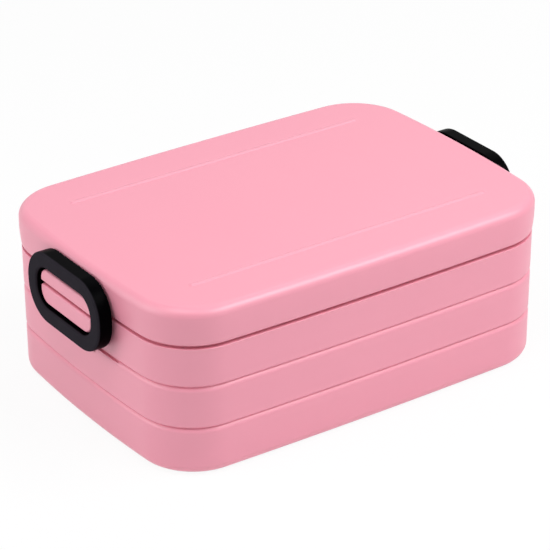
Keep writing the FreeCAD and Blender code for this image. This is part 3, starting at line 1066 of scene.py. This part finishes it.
@dataclass(frozen=True)
class Seal:
    """Silicone ring in the lid's channel, with a rounded lower edge that meets the tub's lip.

    Attributes:
        plan: Plan that all insets are measured from.
        bottom: Lowest height.
        top: Highest height.
        outer_inset: Inset of the outer face.
        inner_inset: Inset of the inner face.
        rounding: Radius of the lower edges.
    """

    plan: BoxPlan
    bottom: float
    top: float
    outer_inset: float = 2.1
    inner_inset: float = 3.6
    rounding: float = 0.6

    def build(self, material: Material) -> None:
        """Model the seal and dress it.

        Args:
            material: Finish of the seal.
        """
        profile = bend(self.inner_inset, self.bottom, self.rounding, Quarter.IN_TO_UNDER, steps=6)
        profile += bend(self.outer_inset, self.bottom, self.rounding, Quarter.UNDER_TO_OUT, steps=6)
        profile += [(self.outer_inset, self.top), (self.inner_inset, self.top)]
        piece = self.plan.outline().solid("seal_ring", profile, closed=True)
        dress(piece, material, "lid_body", "lid_seal")


@dataclass(frozen=True)
class LatchRing:
    """Ring that goes round both half-bosses at one end and holds the lid down.

    Attributes:
        hinge: Its hinge.
        half_length: Half of its length along Y.
        top: Highest height of the ring.
        front: Distance from the box's middle to its front face.
        bottom: Lowest height of the ring.
        back: Distance from the box's middle to its back face.
        corner_radius: Radius of its outer corners.
        bar: Width of the ring's bar.
        front_rounding: Radius of the front edges.
        back_rounding: Radius of the back edges.
    """

    hinge: Hinge
    half_length: float
    top: float
    front: float
    bottom: float = 36.4
    back: float = 85.9
    corner_radius: float = 12.8
    bar: float = 5.8
    front_rounding: float = 0.9
    back_rounding: float = 0.4

    def build(self, material: Material) -> None:
        """Model the ring with its knuckles and dress it.

        Args:
            material: Finish of the ring.
        """
        end = self.hinge.end
        outline = Outline.rounded((-self.half_length, self.bottom), (self.half_length, self.top),
                                  self.corner_radius, steps=24)
        profile = bend(0, self.back, self.back_rounding, Quarter.UNDER_TO_OUT, steps=4)
        profile += bend(0, self.front, self.front_rounding, Quarter.OUT_TO_TOP, steps=6)
        profile += bend(self.bar, self.front, self.front_rounding, Quarter.TOP_TO_IN, steps=6)
        profile += bend(self.bar, self.back, self.back_rounding, Quarter.IN_TO_UNDER, steps=4)
        piece = outline.solid(f"{end.clip}_ring", profile, end.place, closed=True)
        combine(piece, self.hinge.knuckles(), Join.ADD)
        dress(piece, material, f"{end.clip}_body", end.clip)


@dataclass(frozen=True)
class Tray:
    """Lift-out tray over half of the tub, with a flange, divider guides and a gutter for the fork.

    Attributes:
        plan: Plan of the box, which the tray follows at its +X end.
        bottom: Height of its underside.
        top: Height of its rim.
        gutter_low: X of the gutter's outer face.
        inset: Inset of its wall from the box's plan, at the rim.
        draft: How much the walls draw in from the rim to the underside.
        wall: Thickness of the walls.
        floor: Height of the floor inside.
        side: X of its straight inner side.
        corner_radius: Radius of the corners at that side.
        floor_radius: Radius between walls and floor.
        flange: Reach of the flange.
        flange_thickness: Thickness of the flange.
        lip_radius: Radius of the edges of flange and gutter.
        gutter_half_length: Half of the gutter's length.
        gutter_depth: Depth of the gutter's outside below the rim.
        gutter_radius: Radius of the gutter's outer corners.
        gutter_rounding: Radius of the gutter's lower edge.
        guide_gap: Width of the slot between two guide ribs.
        guide_rib: Thickness of a guide rib.
        guide_reach: How far a guide rib stands off the wall.
        guide_top: Height of the guide ribs.
        guide_root: How far a guide rib reaches into the floor.
        guide_rounding: Radius of a guide rib's edges.
        divider_place: Y of the slot.
        inner_steps: Edges in each corner at the inner side.
        long_steps: Edges along each long side.
        end_steps: Edges in each corner of the +X end and along it.
    """

    plan: BoxPlan
    bottom: float
    top: float
    gutter_low: float
    inset: float = 6.3
    draft: float = 1.0
    wall: float = 1.5
    floor: float = 4.5
    side: float = 6.0
    corner_radius: float = 8.0
    floor_radius: float = 4.0
    flange: float = 1.5
    flange_thickness: float = 1.3
    lip_radius: float = 0.45
    gutter_half_length: float = 52.5
    gutter_depth: float = 8.0
    gutter_radius: float = 5.0
    gutter_rounding: float = 0.8
    guide_gap: float = 2.3
    guide_rib: float = 1.3
    guide_reach: float = 2.0
    guide_top: float = 46.0
    guide_root: float = 0.5
    guide_rounding: float = 0.25
    divider_place: float = 14.0
    inner_steps: int = 12
    long_steps: int = 8
    end_steps: int = 16

    def lean(self, height: float) -> float:
        """How far the drafted walls are drawn in at a height."""
        return self.draft * (self.top - height) / (self.top - self.bottom)

    def drafted(self, stations: Sequence[Station]) -> list[Station]:
        """The same stations on the drafted walls."""
        return [(inset + self.lean(height), height) for inset, height in stations]

    def outline(self) -> Outline:
        """Outline of the tray at its rim.

        Returns:
            Seven arcs round the +X end, closed by the straight inner side.
        """
        plan = self.plan
        short, long = plan.corner_angles
        across = self.side + self.corner_radius
        reach = plan.long_radius - self.inset - self.corner_radius
        inner = Vector((across, plan.long_centre.y + math.sqrt(reach ** 2 - across ** 2)))
        turn = math.atan2(inner.y - plan.long_centre.y, inner.x)
        corner = plan.corner_centre
        round_corner = plan.corner_radius - self.inset
        long_radius = plan.long_radius - self.inset
        return Outline((
            Arc(Vector((inner.x, -inner.y)), self.corner_radius, math.pi, math.pi - turn, self.inner_steps),
            Arc(-plan.long_centre, long_radius, -turn, turn - long, self.long_steps),
            Arc(Vector((corner.x, -corner.y)), round_corner, -long, long - short, self.end_steps),
            Arc(plan.short_centre, plan.short_radius - self.inset, -short, 2 * short, self.end_steps),
            Arc(corner, round_corner, short, long - short, self.end_steps),
            Arc(plan.long_centre, long_radius, long, turn - long, self.long_steps),
            Arc(inner, self.corner_radius, turn, math.pi - turn, self.inner_steps),
        ))

    def stations(self) -> list[Station]:
        """List the whole profile, from the underside up to the flange and down to the floor inside.

        Returns:
            Inset and height of each point.
        """
        lip, turn = self.lip_radius, self.floor_radius
        under = self.top - self.flange_thickness
        found = [(turn + GUARD, self.bottom)]
        found += bend(0, self.bottom, turn, Quarter.UNDER_TO_OUT, steps=7)
        found += [(0, under)]
        found += bend(-self.flange, under, lip, Quarter.UNDER_TO_OUT, steps=3)
        found += bend(-self.flange, self.top, lip, Quarter.OUT_TO_TOP, steps=4)
        found += bend(self.wall, self.top, lip, Quarter.TOP_TO_IN, steps=4)
        found += bend(self.wall, self.floor, turn, Quarter.WALL_TO_FLOOR, steps=7)
        found += [(self.wall + turn + GUARD, self.floor)]
        return self.drafted(found)

    def pocket(self) -> Object:
        """Model the hollow of the tray as a block, to cut other pieces with.

        Returns:
            The block.
        """
        foot = bend(self.wall, self.floor, self.floor_radius, Quarter.UNDER_TO_OUT, steps=7)
        stations = self.drafted([*foot, (self.wall, self.top + OVERLAP)])
        return self.outline().solid("tray_pocket", stations)

    def gutter(self, inset: float, reach: float, bottom: float, upper: Sequence[Station]) -> Object:
        """Model the gutter's outside or its hollow as a block.

        Args:
            inset: Distance that it is drawn in by.
            reach: Highest x.
            bottom: Lowest height.
            upper: Stations of its upper edge.

        Returns:
            The block.
        """
        half = self.gutter_half_length - inset
        outline = Outline.rounded((self.gutter_low + inset, -half), (reach, half),
                                  self.gutter_radius - inset, steps=8)
        lower = bend(0, bottom, self.gutter_rounding, Quarter.UNDER_TO_OUT, steps=4)
        return outline.solid("gutter_block", [*lower, *upper])

    def guide(self, side: int, place: float, way: int) -> Object:
        """Model one guide rib of the divider's slot.

        Args:
            side: -1 or 1, the side of the slot.
            place: X of the wall's inner face at the rim.
            way: 1 if the rib stands off the wall towards +X and -1 if towards -X.

        Returns:
            The rib.
        """
        foot = self.floor - self.guide_root
        size = (self.guide_reach + self.wall / 2, self.guide_rib, self.guide_top - foot)
        centre = (place + way * (self.guide_reach - self.wall / 2) / 2,
                  self.divider_place + side * (self.guide_gap + self.guide_rib) / 2,
                  (self.guide_top + foot) / 2)
        bm = soft_bar(size, self.guide_rounding)
        bmesh.ops.translate(bm, vec=centre, verts=bm.verts)
        for vert in bm.verts:
            vert.co.x += way * self.lean(vert.co.z)
        return make_object("guide_rib", bm)

    def end_bow(self) -> float:
        """How much the bowed +X wall falls back at the divider's place."""
        radius = self.plan.short_radius - self.inset - self.wall
        return radius - math.sqrt(radius ** 2 - self.divider_place ** 2)

    def build(self, material: Material) -> None:
        """Model the tray and dress it.

        Args:
            material: Finish of the tray.
        """
        piece = self.outline().solid("tray_moulding", self.stations())
        floor = self.top - self.gutter_depth
        edge = bend(0, self.top, self.lip_radius, Quarter.OUT_TO_TOP, steps=4)
        block = self.gutter(0, self.side + self.corner_radius, floor, edge)
        combine(block, [self.pocket()], Join.CUT)
        combine(piece, [block], Join.ADD)
        hollow = self.gutter(self.wall, self.side, floor + self.wall, [(0, self.top + OVERLAP)])
        combine(piece, [hollow], Join.CUT)
        near = self.side + self.wall
        far = self.plan.length / 2 - self.inset - self.wall - self.end_bow()
        ribs = [self.guide(side, *wall) for side in (-1, 1) for wall in ((near, 1), (far, -1))]
        combine(piece, ribs, Join.ADD)
        dress(piece, material, "tray_body", "bento_tray")


def softened_copy(name: str, node: str, edge_mm: float) -> Object:
    """Copy a CAD node and round its crisp edges a little.

    Args:
        name: Name of the new piece.
        node: CAD node to copy.
        edge_mm: Radius of the edges.

    Returns:
        The new piece.
    """
    bm = bmesh.new()
    bm.from_mesh(frame["nodes"][node].data)
    bmesh.ops.scale(bm, vec=(1 / MM,) * 3, verts=bm.verts)
    bmesh.ops.remove_doubles(bm, verts=bm.verts, dist=TOUCH)
    bmesh.ops.dissolve_limit(bm, angle_limit=FLAT, verts=bm.verts[:], edges=bm.edges[:])
    corners = [edge for edge in bm.edges if edge.is_manifold and edge.calc_face_angle() > CORNER]
    soften(bm, corners, edge_mm, segments=3)
    return make_object(name, bm)


@dataclass(frozen=True)
class Softbox:
    """A rectangular area lamp.

    Attributes:
        name: Name of the lamp.
        place: Where it stands, in millimetres.
        size: Length and width in millimetres.
        power: Power in watts.
    """

    name: str
    place: tuple[float, float, float]
    size: tuple[float, float]
    power: float

    def build(self, aim: Vector) -> None:
        """Add the lamp and turn it to the object.

        Args:
            aim: Point that it faces, in millimetres.
        """
        lamp = bpy.data.lights.new(self.name, "AREA")
        lamp.shape = "RECTANGLE"
        lamp.size, lamp.size_y = (side * MM for side in self.size)
        lamp.energy = self.power
        holder = bpy.data.objects.new(self.name, lamp)
        holder.location = Vector(self.place) * MM
        holder.rotation_euler = (aim - Vector(self.place)).to_track_quat("-Z", "Y").to_euler()
        bpy.context.scene.collection.objects.link(holder)


@dataclass(frozen=True)
class Studio:
    """White studio with the photograph's camera.

    Attributes:
        azimuth: Camera's turn about Z in degrees, where 0 looks along +Y.
        elevation: Camera's height in degrees.
        roll: Camera's turn about its own axis in degrees.
        distance: Distance from the aim in millimetres.
        aim: Point in the middle of the picture in millimetres.
        focal_px: Focal length in pixels.
        image_px: Width and height of the picture in pixels.
        sensor_mm: Width of the sensor.
        white: Colour that shows behind the object, as sRGB hex.
        paper: Colour of the floor itself, as sRGB hex.
        ambient: Strength of the light from all round.
        floor_keep: Share of the floor's own shading that shows, which is where the shadow is.
        floor_size: Width of the floor in millimetres.
        lamps: The softboxes.
    """

    azimuth: float = -34.59
    elevation: float = 27.39
    roll: float = -0.31
    distance: float = 977.7
    aim: tuple[float, float, float] = (-0.2, 1.8, 32.5)
    focal_px: float = 2645.3
    image_px: int = 550
    sensor_mm: float = 36.0
    white: str = "#ffffff"
    paper: str = "#f4f4f4"
    ambient: float = 0.12
    floor_keep: float = 0.08
    floor_size: float = 6000.0
    lamps: tuple[Softbox, ...] = (
        Softbox("back_softbox", (540, 330, 870), (560, 620), 1.6),
        Softbox("near_softbox", (-310, -90, 880), (360, 360), 2.3),
        Softbox("left_softbox", (-840, 300, 420), (750, 650), 4.2),
        Softbox("right_softbox", (380, -500, 760), (800, 450), 6.8),
        Softbox("front_softbox", (380, -900, 420), (800, 600), 1.0),
    )

    def camera(self) -> None:
        """Add the camera and make it the scene's own."""
        turn, tilt = math.radians(self.azimuth), math.radians(self.elevation)
        away = Vector((math.cos(tilt) * math.sin(turn), -math.cos(tilt) * math.cos(turn), math.sin(tilt)))
        lens = bpy.data.cameras.new("photo_camera")
        lens.sensor_width = self.sensor_mm
        lens.lens = self.focal_px / self.image_px * self.sensor_mm
        holder = bpy.data.objects.new("photo_camera", lens)
        look = (-away).to_track_quat("-Z", "Y").to_matrix().to_4x4()
        place = Matrix.Translation((Vector(self.aim) + away * self.distance) * MM)
        holder.matrix_world = place @ look @ Matrix.Rotation(math.radians(self.roll), 4, "Z")
        bpy.context.scene.collection.objects.link(holder)
        bpy.context.scene.camera = holder

    def seen(self, tree: ShaderNodeTree) -> NodeSocket:
        """Tell rays that show the background from rays that light the object.

        Args:
            tree: Node tree that gets the nodes.

        Returns:
            A socket that is 1 for camera, glossy and transmission rays.
        """
        path = add_node(tree, "ShaderNodeLightPath")
        seen = path.outputs["Is Camera Ray"]
        for kind in ("Is Glossy Ray", "Is Transmission Ray"):
            seen = add_node(tree, "ShaderNodeMath", {"operation": "MAXIMUM"},
                            {0: seen, 1: path.outputs[kind]}).outputs["Value"]
        return seen

    def world(self) -> None:
        """Light the scene evenly, and show plain white behind the floor."""
        world = bpy.data.worlds.new("white_studio")
        world.use_nodes = True
        tree = world.node_tree
        tree.nodes.clear()
        strength = add_node(tree, "ShaderNodeMix",
                            {"data_type": "FLOAT", FLOAT_A: self.ambient, FLOAT_B: 1.0},
                            {MIX_SHARE: self.seen(tree)})
        shade = add_node(tree, "ShaderNodeBackground", {"Color": linear(self.white)},
                         {"Strength": strength.outputs[FLOAT_MIX]})
        add_node(tree, "ShaderNodeOutputWorld", links={"Surface": shade.outputs["Background"]})
        bpy.context.scene.world = world

    def floor(self) -> None:
        """Lay the pale floor, which shows white with a trace of the object's shadow."""
        material = empty_material("white_paper_sweep")
        tree = material.node_tree
        paper = add_node(tree, "ShaderNodeBsdfDiffuse", {"Color": linear(self.paper)})
        glow = add_node(tree, "ShaderNodeEmission", {"Color": linear(self.white)})
        share = add_node(tree, "ShaderNodeMath", {"operation": "MULTIPLY", 1: 1 - self.floor_keep},
                         {0: self.seen(tree)})
        mixed = add_node(tree, "ShaderNodeMixShader", links={
            0: share.outputs["Value"], 1: paper.outputs["BSDF"], 2: glow.outputs["Emission"]})
        add_node(tree, "ShaderNodeOutputMaterial", links={"Surface": mixed.outputs["Shader"]})
        bm = bmesh.new()
        bmesh.ops.create_grid(bm, x_segments=1, y_segments=1, size=self.floor_size / 2)
        piece = make_object("studio_floor", bm)
        piece.data.materials.append(material)

    def build(self) -> None:
        """Set up the camera, the floor and the light."""
        bpy.context.scene.view_settings.view_transform = "Standard"
        self.camera()
        self.world()
        self.floor()
        for lamp in self.lamps:
            lamp.build(Vector(self.aim))


# Pink ABS from a spark-eroded mould: satin, with broad soft highlights. The real grain of about
# 0.1 mm is too fine to show, so it is drawn at 0.8 mm.
SHELL_PINK = MouldedPlastic(
    "pink_satin_abs", tone="#ea96a9", drift="#e893a7", drift_mm=40.0, roughness=(0.35, 0.45),
    grain_mm=0.8, grain_depth_mm=0.004, gloss=0.8)

# Black polypropylene: a fine matt texture on the front and a plain dark gloss on the sides, whose
# near-black colour is painted shade for the dark reflection that gloss shows.
CLIP_BLACK = TwoFacedPlastic(
    "black_polypropylene", tone="#27242a", drift="#2d2a30", drift_mm=6.0, roughness=(0.5, 0.62),
    grain_mm=0.5, grain_depth_mm=0.012, gloss=0.008,
    side_tone="#020203", side_roughness=0.3, front_mm=90.7, fade_mm=0.5)

# Moulded silicone: milky, soft and slightly see-through at its edges.
SEAL_SILICONE = MouldedPlastic(
    "milky_silicone", tone="#e6e3e0", drift="#dedbd8", drift_mm=20.0, roughness=(0.48, 0.58),
    grain_mm=0.6, grain_depth_mm=0.006, ior=1.41, see_in=0.5, see_in_mm=2.0)

# Milky polypropylene of the tray and its divider: waxy, with light that spreads in the wall.
TRAY_MILK = MouldedPlastic(
    "milky_polypropylene", tone="#eceae6", drift="#e6e4df", drift_mm=30.0, roughness=(0.34, 0.44),
    grain_mm=0.8, grain_depth_mm=0.004, ior=1.49, see_in=0.35, see_in_mm=2.5)

# Moulded polystyrene of the fork: white and glossy, with sharp small highlights.
FORK_WHITE = MouldedPlastic(
    "white_polystyrene", tone="#f0efec", drift="#ebeae6", drift_mm=20.0, roughness=(0.16, 0.24),
    grain_mm=1.2, grain_depth_mm=0.002, ior=1.59, see_in=0.15, see_in_mm=1.5)


def main() -> None:
    """Build every piece, dress it and set up the studio."""
    logging.basicConfig(level=logging.INFO, format="%(name)s %(message)s")
    plan = BoxPlan()
    hinges = {end: Hinge.at(end) for end in End}
    lid_low, lid_high = frame_box("lid")
    _, tub_high = frame_box("base_tub")
    _, ring_high = frame_box("clip_right")
    seal_low, seal_high = frame_box("lid_seal")
    tray_low, tray_high = frame_box("bento_tray")
    tub_boss = HalfBoss(bottom=43.2, top=Tub.shoulder, low_radius=5.0, high_radius=1.0, face=lid_high.x)
    lid_boss = HalfBoss(bottom=lid_low.z, top=56.5, low_radius=1.0, high_radius=4.2, face=lid_high.x)
    shell, black, milk = (finish.material() for finish in (SHELL_PINK, CLIP_BLACK, TRAY_MILK))
    Tub(plan, tub_boss, hinges, lip_top=tub_high.z).build(shell)
    Lid(plan, lid_boss, edge=lid_low.z, bead_top=lid_high.z).build(shell)
    Seal(plan, bottom=seal_low.z, top=seal_high.z).build(SEAL_SILICONE.material())
    for end in (End.LEFT, End.RIGHT):
        ring = LatchRing(hinges[end], half_length=ring_high.y, top=ring_high.z, front=ring_high.x)
        ring.build(black)
    Tray(plan, bottom=tray_low.z, top=tray_high.z, gutter_low=tray_low.x).build(milk)
    divider = softened_copy("tray_partition", "tray_divider", edge_mm=0.4)
    dress(divider, milk, "divider_body", "tray_divider")
    fork = softened_copy("fork_moulding", "fork", edge_mm=0.35)
    dress(fork, FORK_WHITE.material(), "fork_body", "fork")
    Studio().build()


if __name__ == "__main__":
    main()
